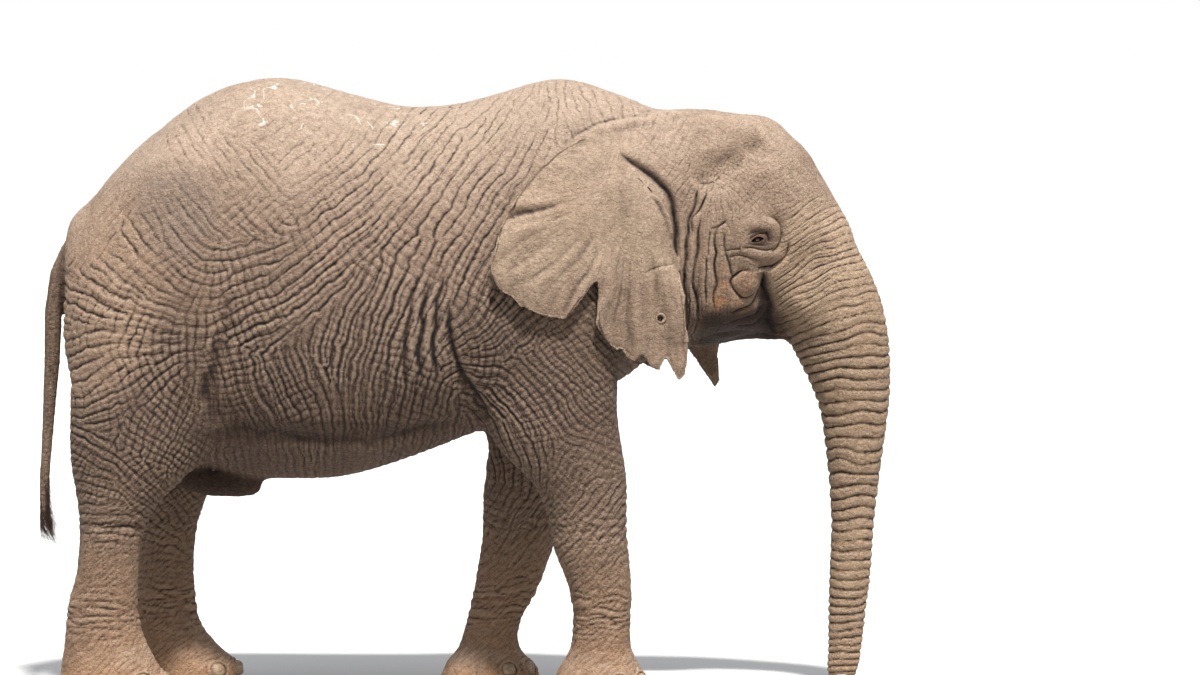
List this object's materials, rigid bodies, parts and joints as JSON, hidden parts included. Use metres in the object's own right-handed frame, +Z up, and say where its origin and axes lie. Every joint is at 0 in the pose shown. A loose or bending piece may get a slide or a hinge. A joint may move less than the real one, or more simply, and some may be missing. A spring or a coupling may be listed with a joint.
{
  "type": "african elephant",
  "caption": "Life-size african elephant bull standing still, trunk hanging to the floor, ears folded back along the neck.",
  "frame": {"origin": "on the floor under the middle of the whole animal's outer box", "axes": "+X towards the head, +Z up, -Y on the elephant's right side"},
  "size_m": [4.497, 1.4664, 3.2077],
  "materials": {
    "hide": "dry, deeply wrinkled grey-brown hide, dusted paler along the back",
    "leg_hide": "dry, finely wrinkled darker hide",
    "ear_hide": "smoother, softly ribbed hide",
    "dark_hide": "dark hide",
    "tail_hair": "coarse dark hair",
    "nail": "worn, ridged toenail",
    "eye": "wet dark brown"
  },
  "bodies": {
    "root": {"torso": "hide", "neck": "hide", "foreleg_right": "leg_hide", "forefoot_right": "leg_hide", "foreleg_left": "leg_hide", "forefoot_left": "leg_hide", "hindleg_right": "leg_hide", "hindfoot_right": "leg_hide", "hindleg_left": "leg_hide", "hindfoot_left": "leg_hide", "head": "hide", "lower_jaw": "hide", "trunk_upper": "hide", "trunk_middle": "hide", "trunk_lower": "hide", "trunk_tip": "hide", "ear_right": "ear_hide", "ear_left": "ear_hide", "tail": "hide", "tail_tuft": "tail_hair", "sheath": "dark_hide", "eye_right": "eye", "eye_left": "eye", "nail_forefoot_right_1": "nail", "nail_forefoot_right_2": "nail", "nail_forefoot_right_3": "nail", "nail_forefoot_right_4": "nail", "nail_forefoot_left_1": "nail", "nail_forefoot_left_2": "nail", "nail_forefoot_left_3": "nail", "nail_forefoot_left_4": "nail", "nail_hindfoot_right_1": "nail", "nail_hindfoot_right_2": "nail", "nail_hindfoot_right_3": "nail", "nail_hindfoot_left_1": "nail", "nail_hindfoot_left_2": "nail", "nail_hindfoot_left_3": "nail"}
  },
  "joints": []
}
